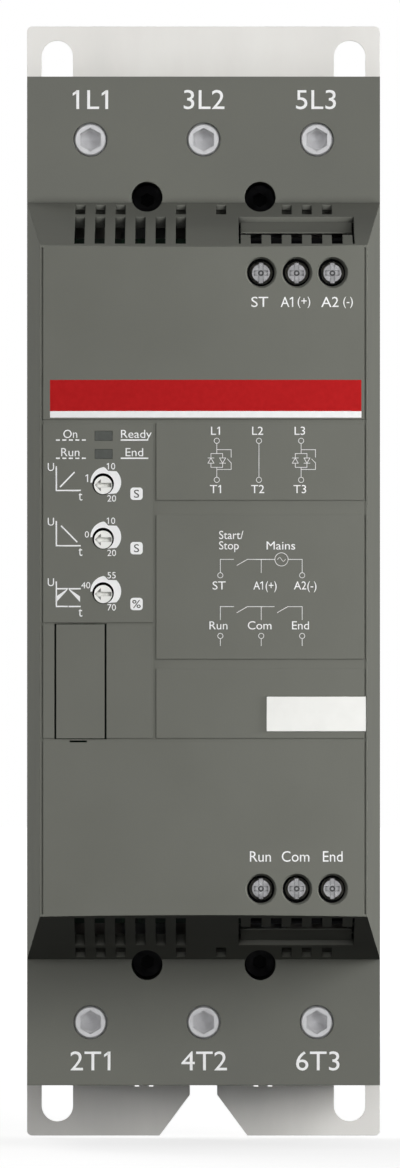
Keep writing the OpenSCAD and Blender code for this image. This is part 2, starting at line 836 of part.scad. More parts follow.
module fieldbus_socket() {
    color("black") translate([fieldbus_x, fieldbus_y, 0]) {
        difference() {
            tray_wall(fit, control_top, socket_front);
            tray_wall(fieldbus_rim, socket_floor, socket_front + cut);
        }
        for (i = [-2 : 2]) translate([0, pin_pitch * i, socket_floor - cut])
            cylinder(d = pin_d, h = pin_h + cut);
    }
}

// Block that fills a window, grown by gap for its seat
module window_block(gap) {
    half_w = window_w / 2 + gap;
    half_h = window_h / 2 + gap;
    span([-half_w, -half_h, rim_d - crown], [half_w, half_h, front_d + cut]);
}

// Light guide from the control board to its window
module indicator(y) {
    half = light_guide_half;
    color("darkslategray") {
        intersection() {
            translate([window_x, y, 0]) window_block(0);
            crown_body(window_recess);
        }
        translate([window_x, y, 0])
            span([-half, -half / 2, control_top], [half, half / 2, rim_d - crown + fit]);
    }
}

module potentiometers() {
    color("black") for (y = dial_ys) translate([dial_x, y, control_top]) difference() {
        translate([-pot_w / 2, -pot_w / 2, 0]) cube([pot_w, pot_w, pot_h]);
        translate([0, 0, pot_h / 2]) cylinder(d = dial_shaft_d + 2 * fit, h = pot_h);
    }
}

// Knob with an arrow-shaped driver slot that points to the scale's start
module dial(number) {
    top = crown_d(dial_x) - 0.1;
    shaft_low = control_top + pot_h / 2 + fit;
    slot_depth = 1.3;
    slot_w_half = 0.42;
    tip = dial_d / 2 - 0.15;
    head_back = 0.45;
    head_half = 1.15;
    color("ivory") translate([dial_x, dial_ys[number - 1], 0]) difference() {
        union() {
            translate([0, 0, top - dial_skirt]) cylinder(d = dial_d, h = dial_skirt);
            translate([0, 0, shaft_low]) cylinder(d = dial_shaft_d, h = top - shaft_low - cut);
        }
        translate([0, 0, top - slot_depth]) linear_extrude(slot_depth + cut) polygon([
            [-tip, 0], [-head_back, head_half], [-head_back, slot_w_half],
            [tip, slot_w_half], [tip, -slot_w_half],
            [-head_back, -slot_w_half], [-head_back, -head_half],
        ]);
    }
}

module thyristor_module(pole) {
    half = module_w / 2;
    flange_y = module_screw_y + module_flange_half;
    color("dimgray") translate([pole_x(pole), 0, sink_front]) difference() {
        union() {
            span([-half, -module_len / 2, 0], [half, module_len / 2, module_h - module_pad_h]);
            span([-half, -flange_y, 0], [half, flange_y, module_flange_t]);
            for (y = [-1, 1]) translate([0, y * bar_screw_y, 0])
                span([-bar_w / 2, -module_pad_half, 0], [bar_w / 2, module_pad_half, module_h]);
        }
        for (y = [-1, 1]) {
            translate([0, y * module_screw_y, -cut]) cylinder(d = module_screw_d + 4 * fit, h = module_h);
            translate([0, y * bar_screw_y, module_h - bar_screw_depth - fit])
                cylinder(d = module_screw_d + 2 * fit, h = module_h);
        }
    }
}

// Pan head screw whose head rests at the given depth
module pan_screw(seat, length) {
    translate([0, 0, seat - length]) cylinder(d = module_screw_d, h = length + pan_socket_low);
    difference() {
        translate([0, 0, seat]) cylinder(d = pan_head_d, h = pan_head_h);
        translate([0, 0, seat + pan_socket_low]) hex(pan_socket_af, pan_head_h);
    }
}

module module_screws() {
    seat = sink_front + module_flange_t;
    color("silver") for (pole = [1, 3], y = [-1, 1]) translate([pole_x(pole), y * module_screw_y, 0])
        pan_screw(seat, module_flange_t + housing_bite);
}

module bar_screws() {
    color("silver") for (pole = [1, 3], y = [-1, 1]) translate([pole_x(pole), y * bar_screw_y, 0])
        pan_screw(bar_front, bar_t + bar_screw_depth);
}

// Flat copper bar from the terminal to its module, drilled for its screw
module phase_bar(pole) {
    color("peru") translate([pole_x(pole), 0, 0]) difference() {
        span([-bar_w / 2, bar_gap / 2, bar_rear], [bar_w / 2, bar_outer, bar_front]);
        translate([0, bar_screw_y, bar_rear - cut])
            cylinder(d = module_screw_d + 4 * fit, h = bar_t + 2 * cut);
    }
}

module through_bar() {
    color("peru") translate([pole_x(2), 0, 0])
        span([-bar_w / 2, -bar_outer, bar_rear], [bar_w / 2, bar_outer, bar_front]);
}

module bar_insulators() {
    color("firebrick") both_ends() translate([pole_x(2), insulator_y, sink_front])
        cylinder(d = bar_w, h = module_h, $fn = 6);
}

module bypass_relay(pole) {
    low = bar_front + relay_foot_h;
    foot_half_w = bar_w / 2 - relay_foot_side;
    color("darkslategray") translate([pole_x(pole), 0, 0]) {
        span([-relay_w / 2, -relay_len / 2, low], [relay_w / 2, relay_len / 2, relay_top]);
        both_ends() translate([0, relay_foot_y, 0])
            span([-foot_half_w, -relay_foot_half, bar_front], [foot_half_w, relay_foot_half, low + fit]);
    }
}

module power_board() {
    power_board_d = max(relay_top + board_t, shoulder_d);
    color("seagreen") translate([0, 0, relay_top]) linear_extrude(board_t)
        rounded_rect(board_w(power_board_d), board_h(power_board_d), board_corner_r);
}

module board_spacers() {
    low = relay_top + board_t;
    color("goldenrod") for (x = [-1, 1], y = [-1, 1])
        translate([x * spacer_x, y * spacer_y, low]) hex(spacer_af, control_board_d - low);
}

module control_board() {
    color("seagreen") translate([0, 0, control_board_d]) linear_extrude(board_t)
        rounded_rect(board_w(control_top), board_h(control_top), board_corner_r);
}

// Terminal block behind one wire opening, with three clamp pockets
module terminal_block() {
    low_y = control_y - block_back;
    shelf_y = rim_half_h - wall - block_gap;
    ramp_y = nose_half_h(control_top) - wall - block_gap;
    ramp_end = shoulder_d + far_vent_start + wire_step_len + wire_opening_len;
    pocket_w = control_cage_w + 2 * pocket_gap;
    pocket_len = control_cage_len + 2 * pocket_gap;
    wire_w = control_cage_w - 2 * control_cage_wall;
    difference() {
        translate([control_x, 0, 0]) along_x(block_w) polygon([
            [low_y, control_top], [ramp_y, control_top], [shelf_y, ramp_end],
            [shelf_y, block_top], [low_y, block_top],
        ]);
        for (pole = POLES) translate([control_pole_x(pole), control_y, 0]) {
            span([-pocket_w / 2, -pocket_len / 2, control_top + block_floor],
                 [pocket_w / 2, pocket_len / 2, control_head_rear - control_head_web]);
            span([-wire_w / 2, 0, control_cage_rear + control_cage_wall],
                 [wire_w / 2, 2 * pocket_len, contact_rear]);
            cylinder(d = control_head_d + 2 * control_head_gap, h = block_top + cut);
            span([-contact_half_w - fit, -pocket_len, contact_rear - seat_gap],
                 [contact_half_w + fit, 0, contact_rear + contact_t + seat_gap]);
        }
    }
}

module control_block() {
    color("black") terminal_block();
}

module signal_block() {
    color("black") mirror([0, 1, 0]) terminal_block();
}

// Contact bars that the control wires are pressed against
module contact_bars() {
    color("goldenrod") both_ends() for (pole = POLES) translate([control_pole_x(pole), control_y, 0])
        span([-contact_half_w, -contact_back, contact_rear],
             [contact_half_w, control_cage_len / 2, contact_rear + contact_t]);
}

// Set screw with a hex socket, a stepped head and bevelled ends
module main_screw() {
    tip_bevel = 0.7;
    head_bevel = 0.25;
    point_h = 0.9;
    socket_low = screw_front - socket_depth;
    difference() {
        union() {
            translate([0, 0, screw_tip]) cylinder(d1 = screw_d - 2 * tip_bevel, d2 = screw_d, h = tip_bevel);
            translate([0, 0, screw_tip + tip_bevel]) cylinder(d = screw_d, h = screw_thread_len - tip_bevel);
            translate([0, 0, screw_step])
                cylinder(d = screw_head_d, h = screw_front - screw_step - head_bevel);
            translate([0, 0, screw_front - head_bevel])
                cylinder(d1 = screw_head_d, d2 = screw_head_d - 2 * head_bevel, h = head_bevel);
        }
        translate([0, 0, socket_low]) hex(socket_af, socket_depth + cut);
        translate([0, 0, socket_low + fit - point_h]) cylinder(d1 = 0, d2 = socket_af - 2 * fit, h = point_h);
    }
}

module line_screw(pole) {
    color("silver") translate([pole_x(pole), terminal_y, 0]) main_screw();
}

module load_screw(pole) {
    color("silver") translate([pole_x(pole), -terminal_y, 0]) main_screw();
}

// Rising cage round the bar, threaded in front
module main_clamp() {
    depth = cage_front - cage_rear;
    difference() {
        translate([0, 0, cage_rear + depth / 2]) along_y(cage_len)
            rounded_rect(cage_w, depth, cage_corner_r);
        span([-cage_inner_w / 2, -cage_len, cage_rear + cage_wall],
             [cage_inner_w / 2, cage_len, cage_front - cage_nut_t]);
        cylinder(d = screw_d + 2 * fit, h = shoulder_d);
    }
    // The rear wall is left whole behind the screw
    span([-cage_inner_w / 2, -cage_len / 2, cage_rear],
         [cage_inner_w / 2, cage_len / 2, cage_rear + cage_wall]);
}

module line_clamp(pole) {
    color("gold") translate([pole_x(pole), terminal_y, 0]) main_clamp();
}

module load_clamp(pole) {
    color("gold") translate([pole_x(pole), -terminal_y, 0]) main_clamp();
}

// Set screw with a slot that runs out in two lugs, a cross bar and a ringed centre
module small_screw() {
    lug_half = 0.42;
    lug_reach = control_head_d / 2 + 0.25;
    slot_half = lug_half + seat_gap;
    slot_depth = 0.9;
    bar_half = 0.5;
    bar_reach = control_head_d / 2 - 0.36;
    bar_depth = 0.6;
    ring_d = 1.14;
    pip_d = 0.5;
    ring_depth = 1.7;
    top = control_head_rear + control_head_h;
    difference() {
        union() {
            translate([0, 0, control_tip])
                cylinder(d = control_screw_d, h = control_head_rear - control_tip + cut);
            translate([0, 0, control_head_rear]) cylinder(d = control_head_d, h = control_head_h);
            span([-lug_half, -lug_reach, control_head_rear], [lug_half, lug_reach, top]);
        }
        span([-slot_half, -control_head_d, top - slot_depth], [slot_half, control_head_d, top + cut]);
        span([-bar_reach, -bar_half, top - bar_depth], [bar_reach, bar_half, top + cut]);
        translate([0, 0, top - ring_depth]) difference() {
            cylinder(d = ring_d, h = ring_depth + cut);
            cylinder(d = pip_d, h = ring_depth + cut);
        }
    }
}

module control_screw(pole) {
    color("silver") translate([control_pole_x(pole), control_y, 0]) small_screw();
}

module signal_screw(pole) {
    color("silver") translate([control_pole_x(pole), -control_y, 0]) small_screw();
}

// Small rising cage round a contact bar
module small_clamp() {
    inner = control_cage_w - 2 * control_cage_wall;
    half = control_cage_w / 2;
    len_half = control_cage_len / 2;
    difference() {
        span([-half, -len_half, control_cage_rear], [half, len_half, control_nut_front]);
        span([-inner / 2, -control_cage_len, control_cage_rear + control_cage_wall],
             [inner / 2, control_cage_len, control_nut_front - control_nut_t]);
        translate([0, 0, contact_rear]) cylinder(d = control_screw_d + 2 * fit, h = block_h);
    }
}

module control_clamp(pole) {
    color("gold") translate([control_pole_x(pole), control_y, 0]) small_clamp();
}

module signal_clamp(pole) {
    color("gold") translate([control_pole_x(pole), -control_y, 0]) small_clamp();
}

stand() mounting_plate();
stand() plate_screws();
stand() heat_sink();
stand() rear_housing();
stand() front_housing();
stand() housing_screws();
stand() front_cover();
stand() marker_tag();
stand() fieldbus_cover();
stand() fieldbus_socket();
stand() indicator(window_ys[0]);  // upper_indicator
stand() indicator(window_ys[1]);  // lower_indicator
stand() potentiometers();
stand() thyristor_module(1);  // thyristor_module_1
stand() thyristor_module(3);  // thyristor_module_3
stand() module_screws();
stand() phase_bar(1);  // line_bar_1
stand() phase_bar(3);  // line_bar_3
stand() mirror([0, 1, 0]) phase_bar(1);  // load_bar_1
stand() mirror([0, 1, 0]) phase_bar(3);  // load_bar_3
stand() through_bar();
stand() bar_insulators();
stand() bar_screws();
stand() bypass_relay(1);  // bypass_relay_1
stand() bypass_relay(3);  // bypass_relay_3
stand() power_board();
stand() board_spacers();
stand() control_board();
stand() control_block();
stand() signal_block();
stand() contact_bars();
for (i = POLES) {
    stand() dial(i);
    stand() line_screw(i);
    stand() load_screw(i);
    stand() line_clamp(i);
    stand() load_clamp(i);
    stand() control_screw(i);
    stand() signal_screw(i);
    stand() control_clamp(i);
    stand() signal_clamp(i);
}
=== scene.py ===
"""Soft starter: finishes, printed marks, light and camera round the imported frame. Metres, as the frame."""
import json
import math

import bmesh
import bpy
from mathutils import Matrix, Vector


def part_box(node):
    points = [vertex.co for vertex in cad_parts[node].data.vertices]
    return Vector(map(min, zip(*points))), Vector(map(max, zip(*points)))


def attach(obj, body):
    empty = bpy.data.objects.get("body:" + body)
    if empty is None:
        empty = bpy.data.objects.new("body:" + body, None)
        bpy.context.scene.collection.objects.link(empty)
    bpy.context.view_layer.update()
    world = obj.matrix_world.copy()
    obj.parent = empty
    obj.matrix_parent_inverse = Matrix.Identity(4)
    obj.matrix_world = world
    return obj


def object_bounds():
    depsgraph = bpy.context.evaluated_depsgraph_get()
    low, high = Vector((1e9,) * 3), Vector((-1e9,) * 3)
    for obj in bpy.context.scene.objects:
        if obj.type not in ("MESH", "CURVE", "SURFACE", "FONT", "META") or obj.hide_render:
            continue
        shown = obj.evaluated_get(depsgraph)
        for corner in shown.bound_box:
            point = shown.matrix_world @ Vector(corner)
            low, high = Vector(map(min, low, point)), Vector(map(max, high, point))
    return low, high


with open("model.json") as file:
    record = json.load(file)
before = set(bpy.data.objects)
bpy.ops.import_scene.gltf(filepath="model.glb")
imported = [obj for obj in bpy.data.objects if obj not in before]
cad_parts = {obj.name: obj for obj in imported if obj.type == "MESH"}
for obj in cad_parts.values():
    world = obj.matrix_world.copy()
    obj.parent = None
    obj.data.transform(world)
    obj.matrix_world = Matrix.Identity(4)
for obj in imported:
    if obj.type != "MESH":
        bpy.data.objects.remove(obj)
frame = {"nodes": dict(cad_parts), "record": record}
cad_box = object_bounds()
nodes = frame["nodes"]

MM = 0.001

# Shape of the faces that carry print, in millimetres
CROWN = 2.5
RIM_HALF_W = 31.45
SCREW_RECESS = 0.4
CROWN_R = (RIM_HALF_W ** 2 + CROWN ** 2) / (2 * CROWN)
FRONT_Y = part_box("front_cover")[0].y / MM
SHOULDER_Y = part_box("line_screw_1")[0].y / MM - SCREW_RECESS

# Ink stands this far out of the face and reaches this far into it, and ink over ink stands a little higher
INK_RISE = 0.03
INK_SINK = 0.05
SECOND_LAYER = 0.02
LINE_W = 0.1
ICON_LINE_W = 0.27


# Colour and node helpers

NOISE_RANGE = (0.3, 0.7)
NOISE_ROUGHNESS = 0.55
COLOUR_STOPS = {2: NOISE_RANGE, 3: (0.25, 0.5, 0.75)}
# Samples for the painted shade in slots and corners
PAINTED_SHADE_SAMPLES = 8


def linear(hex_code):
    """An sRGB hex code as a linear colour with alpha."""
    parts = [int(hex_code[i:i + 2], 16) / 255 for i in (0, 2, 4)]
    return [p / 12.92 if p < 0.04045 else ((p + 0.055) / 1.055) ** 2.4 for p in parts] + [1.0]


class Finish:
    """A Principled material whose colour, gloss and relief come from noise in object space."""

    def __init__(self, name):
        self.material = bpy.data.materials.new(name)
        self.material.use_nodes = True
        self.tree = self.material.node_tree
        self.shader = self.tree.nodes["Principled BSDF"]
        self.place = self.tree.nodes.new("ShaderNodeTexCoord").outputs["Object"]

    def set(self, **values):
        """Sets sockets of the shader by name, with _ for a space."""
        for key, value in values.items():
            self.shader.inputs[key.replace("_", " ")].default_value = value

    def link(self, out, socket):
        """Joins an output to an input."""
        self.tree.links.new(out, socket)

    def stretched(self, scale):
        """Object space drawn out by a scale along each axis."""
        mapping = self.tree.nodes.new("ShaderNodeMapping")
        mapping.inputs["Scale"].default_value = scale
        self.link(self.place, mapping.inputs["Vector"])
        return mapping.outputs["Vector"]

    def noise(self, scale, detail, stretch=None):
        """Noise with a scale in cells per metre."""
        node = self.tree.nodes.new("ShaderNodeTexNoise")
        node.inputs["Scale"].default_value = scale
        node.inputs["Detail"].default_value = detail
        node.inputs["Roughness"].default_value = NOISE_ROUGHNESS
        self.link(self.stretched(stretch) if stretch else self.place, node.inputs["Vector"])
        return node.outputs["Fac"]

    def span(self, fac, low, high):
        """A factor, from noise or from hollows, taken to a range of values."""
        node = self.tree.nodes.new("ShaderNodeMapRange")
        node.inputs["From Min"].default_value = NOISE_RANGE[0]
        node.inputs["From Max"].default_value = NOISE_RANGE[1]
        node.inputs["To Min"].default_value = low
        node.inputs["To Max"].default_value = high
        self.link(fac, node.inputs["Value"])
        return node.outputs["Result"]

    def colour(self, fac, *codes):
        """A base colour that runs through two or three hex codes."""
        stops = COLOUR_STOPS[len(codes)]
        node = self.tree.nodes.new("ShaderNodeValToRGB")
        elements = node.color_ramp.elements
        while len(elements) < len(codes):
            elements.new(stops[1])
        for element, position, code in zip(elements, stops, codes):
            element.position = position
            element.color = linear(code)
        self.link(fac, node.inputs["Fac"])
        self.link(node.outputs["Color"], self.shader.inputs["Base Color"])

    def painted_shade(self, reach_mm, shade):
        """Paints shade into the colour: darkens it towards a share of itself in the piece's own slots and
        corners.
        """
        hollow = self.tree.nodes.new("ShaderNodeAmbientOcclusion")
        hollow.only_local = True
        hollow.samples = PAINTED_SHADE_SAMPLES
        hollow.inputs["Distance"].default_value = reach_mm * MM
        scale = self.tree.nodes.new("ShaderNodeVectorMath")
        scale.operation = "SCALE"
        unshaded = self.shader.inputs["Base Color"].links[0].from_socket
        self.link(unshaded, scale.inputs["Vector"])
        self.link(self.span(hollow.outputs["AO"], shade, 1.0), scale.inputs["Scale"])
        self.link(scale.outputs["Vector"], self.shader.inputs["Base Color"])

    def gloss(self, fac, low, high):
        """Roughness between two values."""
        self.link(self.span(fac, low, high), self.shader.inputs["Roughness"])

    def relief(self, fac, depth_mm, strength, edge_mm=0.0):
        """Surface relief of a real depth, over edges that are broken by a small radius."""
        bump = self.tree.nodes.new("ShaderNodeBump")
        if edge_mm:
            edge = self.tree.nodes.new("ShaderNodeBevel")
            edge.inputs["Radius"].default_value = edge_mm * MM
            self.link(edge.outputs["Normal"], bump.inputs["Normal"])
        bump.inputs["Strength"].default_value = strength
        bump.inputs["Distance"].default_value = depth_mm * MM
        self.link(fac, bump.inputs["Height"])
        self.link(bump.outputs["Normal"], self.shader.inputs["Normal"])


# Materials

# Share of its colour that plastic keeps in the darkest painted shade of its slots
SLOT_SHADE = 0.05


def moulded_plastic(name, dark, light, rough=(0.6, 0.72), edge_mm=0.15, painted_shade_mm=0.0):
    """Moulded plastic with a fine spark-eroded grain, faint flow marks and, given a reach, painted shade in
    its slots.
    """
    f = Finish(name)
    f.set(Specular_IOR_Level=0.0, Coat_Weight=0.05, Coat_Roughness=0.5)
    f.colour(f.noise(scale=55, detail=5), dark, light)
    # Painted shade: the colour darkens in the piece's own slots and corners
    if painted_shade_mm:
        f.painted_shade(painted_shade_mm, SLOT_SHADE)
    f.gloss(f.noise(scale=140, detail=4), *rough)
    f.relief(f.noise(scale=2600, detail=2), depth_mm=0.02, strength=0.6, edge_mm=edge_mm)
    return f.material


def gloss_plastic(name, dark, light):
    """Smooth moulded plastic with a soft sheen and painted shade in its slots."""
    f = Finish(name)
    f.set(Specular_IOR_Level=0.2)
    f.colour(f.noise(scale=220, detail=3), dark, light)
    # Painted shade in the piece's own slots and corners
    f.painted_shade(reach_mm=0.8, shade=0.3)
    f.gloss(f.noise(scale=320, detail=3), low=0.3, high=0.42)
    f.relief(f.noise(scale=1500, detail=2), depth_mm=0.006, strength=0.4, edge_mm=0.1)
    return f.material


def plated_sheet():
    """Zinc-plated sheet steel: faint rolling lines up the sheet and a cloudy satin gloss."""
    f = Finish("plated_sheet")
    f.set(Metallic=0.1, Specular_IOR_Level=0.3)
    f.colour(f.noise(scale=60, detail=5, stretch=(1.0, 1.0, 0.35)), "e4e3df", "eceae6", "f2f1ed")
    f.gloss(f.noise(scale=120, detail=4, stretch=(1.0, 1.0, 0.15)), low=0.42, high=0.55)
    lines = f.noise(scale=900, detail=3, stretch=(1.0, 1.0, 0.04))
    f.relief(lines, depth_mm=0.008, strength=0.5, edge_mm=0.2)
    return f.material


def turned_steel(name, dark, light, rough=(0.28, 0.4), metallic=1.0, reach_mm=2.5, shade=0.45):
    """Plated fastener steel with fine tool marks and painted shade in its slots."""
    f = Finish(name)
    f.set(Metallic=metallic)
    f.colour(f.noise(scale=500, detail=4), dark, light)
    # Painted shade in the piece's own slots, such as hex sockets and screw slots
    f.painted_shade(reach_mm, shade)
    f.gloss(f.noise(scale=700, detail=3), *rough)
    f.relief(f.noise(scale=2500, detail=3), depth_mm=0.006, strength=0.5, edge_mm=0.05)
    return f.material


def extruded_metal():
    """Extruded light alloy with lines along the extrusion."""
    f = Finish("extruded_metal")
    f.set(Metallic=0.9)
    f.colour(f.noise(scale=80, detail=4, stretch=(1.0, 1.0, 0.1)), "a9abad", "c3c5c6")
    f.gloss(f.noise(scale=200, detail=3, stretch=(1.0, 1.0, 0.08)), low=0.34, high=0.5)
    f.relief(f.noise(scale=1800, detail=2, stretch=(1.0, 1.0, 0.02)), depth_mm=0.01, strength=0.6)
    return f.material


def bar_copper():
    """Tinned copper bar, dull grey with a faint warm cloud."""
    f = Finish("bar_copper")
    f.set(Metallic=1.0)
    f.colour(f.noise(scale=160, detail=6), "6d6863", "7e7b77", "8f8c88")
    f.gloss(f.noise(scale=260, detail=4), low=0.26, high=0.46)
    f.relief(f.noise(scale=1200, detail=3, stretch=(1.0, 1.0, 0.05)), depth_mm=0.006, strength=0.5)
    return f.material


def circuit_board():
    """Green solder mask over routed tracks."""
    f = Finish("circuit_board")
    f.set(Specular_IOR_Level=0.5)
    tracks = f.tree.nodes.new("ShaderNodeTexBrick")
    tracks.inputs["Color1"].default_value = linear("17301f")
    tracks.inputs["Color2"].default_value = linear("1a3624")
    tracks.inputs["Mortar"].default_value = linear("24462f")
    tracks.inputs["Scale"].default_value = 160
    tracks.inputs["Mortar Size"].default_value = 0.05
    f.link(f.place, tracks.inputs["Vector"])
    f.link(tracks.outputs["Color"], f.shader.inputs["Base Color"])
    f.gloss(f.noise(scale=300, detail=3), low=0.28, high=0.4)
    f.relief(tracks.outputs["Fac"], depth_mm=0.02, strength=0.5)
    return f.material


def smoked_window():
    """Dark light-guide plastic with a faint cloud inside."""
    f = Finish("smoked_window")
    f.set(Specular_IOR_Level=0.25, Coat_Weight=0.1, Coat_Roughness=0.1)
    f.colour(f.noise(scale=700, detail=3), "4a4d49", "535652")
    f.gloss(f.noise(scale=900, detail=3), low=0.16, high=0.26)
    f.relief(f.noise(scale=1800, detail=2), depth_mm=0.004, strength=0.4)
    return f.material


def ink(name, dark, light):
    """Pad-printed ink: nearly matt, with a slightly uneven cover."""
    f = Finish(name)
    f.set(Specular_IOR_Level=0.1)
    f.colour(f.noise(scale=900, detail=4), dark, light)
    f.gloss(f.noise(scale=600, detail=3), low=0.45, high=0.6)
    f.relief(f.noise(scale=4000, detail=2), depth_mm=0.004, strength=0.4)
    return f.material


def build_finishes():
    """One material for each material slot of the record, and a duller one for the main screws."""
    return {
        "plate_steel": plated_sheet(),
        # reach_mm and shade set how far in and how dark the painted shade of the slots goes
        "screw_steel": turned_steel("screw_steel", "b0b0b2", "bcbcbe", (0.24, 0.36), reach_mm=0.7,
                                    shade=0.2),
        "dull_screw_steel": turned_steel("dull_screw_steel", "d0d0d2", "dadadc", (0.4, 0.52), metallic=0.4,
                                         shade=0.8),
        "black_steel": turned_steel("black_steel", "3a3a3c", "48484a", (0.34, 0.5)),
        "sink_metal": extruded_metal(),
        # Painted shade up to 4 mm into the housing's vents and corners
        "housing_plastic": moulded_plastic("housing_plastic", "70716b", "73746d", edge_mm=0.3,
                                           painted_shade_mm=4.0),
        "cover_plastic": moulded_plastic("cover_plastic", "72736c", "767770", (0.52, 0.64)),
        "white_plastic": gloss_plastic("white_plastic", "f4f4f0", "f9f9f5"),
        "black_plastic": moulded_plastic("black_plastic", "0b0b0b", "121212"),
        "block_plastic": moulded_plastic("block_plastic", "060607", "0c0c0d"),
        "window_plastic": smoked_window(),
        "module_plastic": moulded_plastic("module_plastic", "1d1d1f", "272729"),
        "red_plastic": moulded_plastic("red_plastic", "7d2a22", "8d342a"),
        "bar_copper": bar_copper(),
        "spacer_brass": turned_steel("spacer_brass", "b08d4a", "c8a45c"),
        "board_green": circuit_board(),
        "clamp_metal": turned_steel("clamp_metal", "a7a49a", "c4c1b6", (0.28, 0.44)),
        "dial_plastic": gloss_plastic("dial_plastic", "f6f6f2", "fcfcf8"),
    }


# Carried-over solids

MAIN_SCREWS = ("line_screw", "load_screw")


def finish_nodes(finishes):
    """Gives every CAD node its material."""
    for part in frame["record"]["subparts"]:
        obj = nodes[part["node"]]
        obj.data.materials.clear()
        dull = part["node"].startswith(MAIN_SCREWS)
        obj.data.materials.append(finishes["dull_screw_steel" if dull else part["material_slot"]])


# Tools for printed marks, drawn in millimetres across (x) and up (z)

STRIP_STEPS = 48
RING_STEPS = 24
CORNER_STEPS = 6
WELD = 0.0005


def on_front(x, z, rise):
    """A point at a height over the crowned front."""
    return Vector((x, FRONT_Y + CROWN_R - math.sqrt(CROWN_R ** 2 - x * x) - rise, z)) * MM


def on_shoulder(x, z, rise):
    """A point at a height over the shoulder faces."""
    return Vector((x, SHOULDER_Y - rise, z)) * MM


def slab(bm, outline, place=on_front, lift=0.0):
    """A thin closed layer of ink over an outline that runs anticlockwise."""
    top = [bm.verts.new(place(x, z, INK_RISE + lift)) for x, z in outline]
    bottom = [bm.verts.new(place(x, z, -INK_SINK)) for x, z in outline]
    bm.faces.new(top)
    bm.faces.new(bottom[::-1])
    for i in range(len(top)):
        j = (i + 1) % len(top)
        bm.faces.new((top[i], bottom[i], bottom[j], top[j]))


def strip(bm, x0, x1, low, high):
    """A band of ink that follows the crown."""
    xs = [x0 + (x1 - x0) * i / STRIP_STEPS for i in range(STRIP_STEPS + 1)]
    rows = [[bm.verts.new(on_front(x, z, rise)) for x in xs]
            for z, rise in ((low, INK_RISE), (high, INK_RISE), (high, -INK_SINK), (low, -INK_SINK))]
    for a, b in zip(rows, rows[1:] + rows[:1]):
        for i in range(STRIP_STEPS):
            bm.faces.new((a[i], a[i + 1], b[i + 1], b[i]))
    bm.faces.new([row[0] for row in rows])
    bm.faces.new([row[-1] for row in rows[::-1]])


def stroke(bm, points, width=LINE_W):
    """A line of straight strokes through the points, with square ends."""
    for (x0, z0), (x1, z1) in zip(points, points[1:]):
        length = math.hypot(x1 - x0, z1 - z0)
        ux, uz = (x1 - x0) / length * width / 2, (z1 - z0) / length * width / 2
        slab(bm, [(x0 - ux + uz, z0 - uz - ux), (x1 + ux + uz, z1 + uz - ux),
                  (x1 + ux - uz, z1 + uz + ux), (x0 - ux - uz, z0 - uz + ux)])


def arc(x, z, radius, start, end, steps):
    """Points of a circle between two angles in degrees."""
    angles = [math.radians(start + (end - start) * i / steps) for i in range(steps + 1)]
    return [(x + radius * math.cos(a), z + radius * math.sin(a)) for a in angles]


def ring(bm, x, z, radius):
    """A drawn circle."""
    outer = arc(x, z, radius + LINE_W / 2, 0, 360, RING_STEPS)
    inner = arc(x, z, radius - LINE_W / 2, 0, 360, RING_STEPS)
    for i in range(RING_STEPS):
        slab(bm, [outer[i], outer[i + 1], inner[i + 1], inner[i]])


def rounded_square(x, z, size, radius):
    """Outline of a square with round corners."""
    h = size / 2 - radius
    corners = [(h, h, 0), (-h, h, 90), (-h, -h, 180), (h, -h, 270)]
    return [p for cx, cz, a in corners for p in arc(x + cx, z + cz, radius, a, a + 90, CORNER_STEPS)]


# Lettering

def letter_mesh(text):
    """A text as a closed mesh one unit thick, in the built-in font."""
    curve = bpy.data.curves.new("letters", "FONT")
    curve.body = text
    curve.extrude = 0.5
    curve.resolution_u = 4
    holder = bpy.data.objects.new("letters", curve)
    mesh = bpy.data.meshes.new_from_object(holder)
    bpy.data.objects.remove(holder)
    bpy.data.curves.remove(curve)
    return mesh


def extent(mesh, axis):
    """Lowest and highest coordinate of a mesh along an axis."""
    values = [v.co[axis] for v in mesh.vertices]
    return min(values), max(values)


def letter_extent(text, axis):
    """Lowest and highest coordinate of a text along an axis."""
    mesh = letter_mesh(text)
    low, high = extent(mesh, axis)
    bpy.data.meshes.remove(mesh)
    return low, high


CAP_UNIT = letter_extent("H", 1)[1]
STEM_LOW, STEM_HIGH = letter_extent("I", 0)
STEM_W = (STEM_HIGH - STEM_LOW) / CAP_UNIT
PLAIN_SQUEEZE = 0.94

# Slanted stroke of a figure one, in shares of its height
FLAG_OVERLAP = 0.02
FLAG_REACH = 0.2
FLAG_SLOPE = 0.16
FLAG_LOW = 0.3


def words(bm, text, x, z, cap, place=on_front, align="centre", squeeze=PLAIN_SQUEEZE, lift=0.0):
    """Lettering with its baseline at z, centred on x or starting there."""
    mesh = letter_mesh(text)
    scale = cap / CAP_UNIT
    low, high = extent(mesh, 0)
    anchor = (low + high) / 2 if align == "centre" else low
    for v in mesh.vertices:
        rise = INK_RISE + lift if v.co.z > 0 else -INK_SINK
        v.co = place(x + (v.co.x - anchor) * scale * squeeze, z + v.co.y * scale, rise)
    bm.from_mesh(mesh)
    bpy.data.meshes.remove(mesh)
    for i, letter in enumerate(text):
        if letter == "1":
            stem = x + (letter_extent(text[:i + 1], 0)[1] - anchor) * scale * squeeze
            one_flag(bm, stem - STEM_W * cap, z + cap, cap, place, lift)


def one_flag(bm, x, z, cap, place, lift):
    """The slanted stroke of a figure one, from the top left corner of its stem."""
    right = x + FLAG_OVERLAP * cap
    left = x - FLAG_REACH * cap
    slab(bm, [(right, z), (left, z - FLAG_SLOPE * cap), (left, z - FLAG_LOW * cap),
              (right, z - FLAG_SLOPE * cap)], place, lift)


def word_row(bm, row, z, cap):
    """Words given as text, place across and squeeze, on one baseline."""
    for text, x, squeeze in row:
        words(bm, text, x, z, cap, squeeze=squeeze)


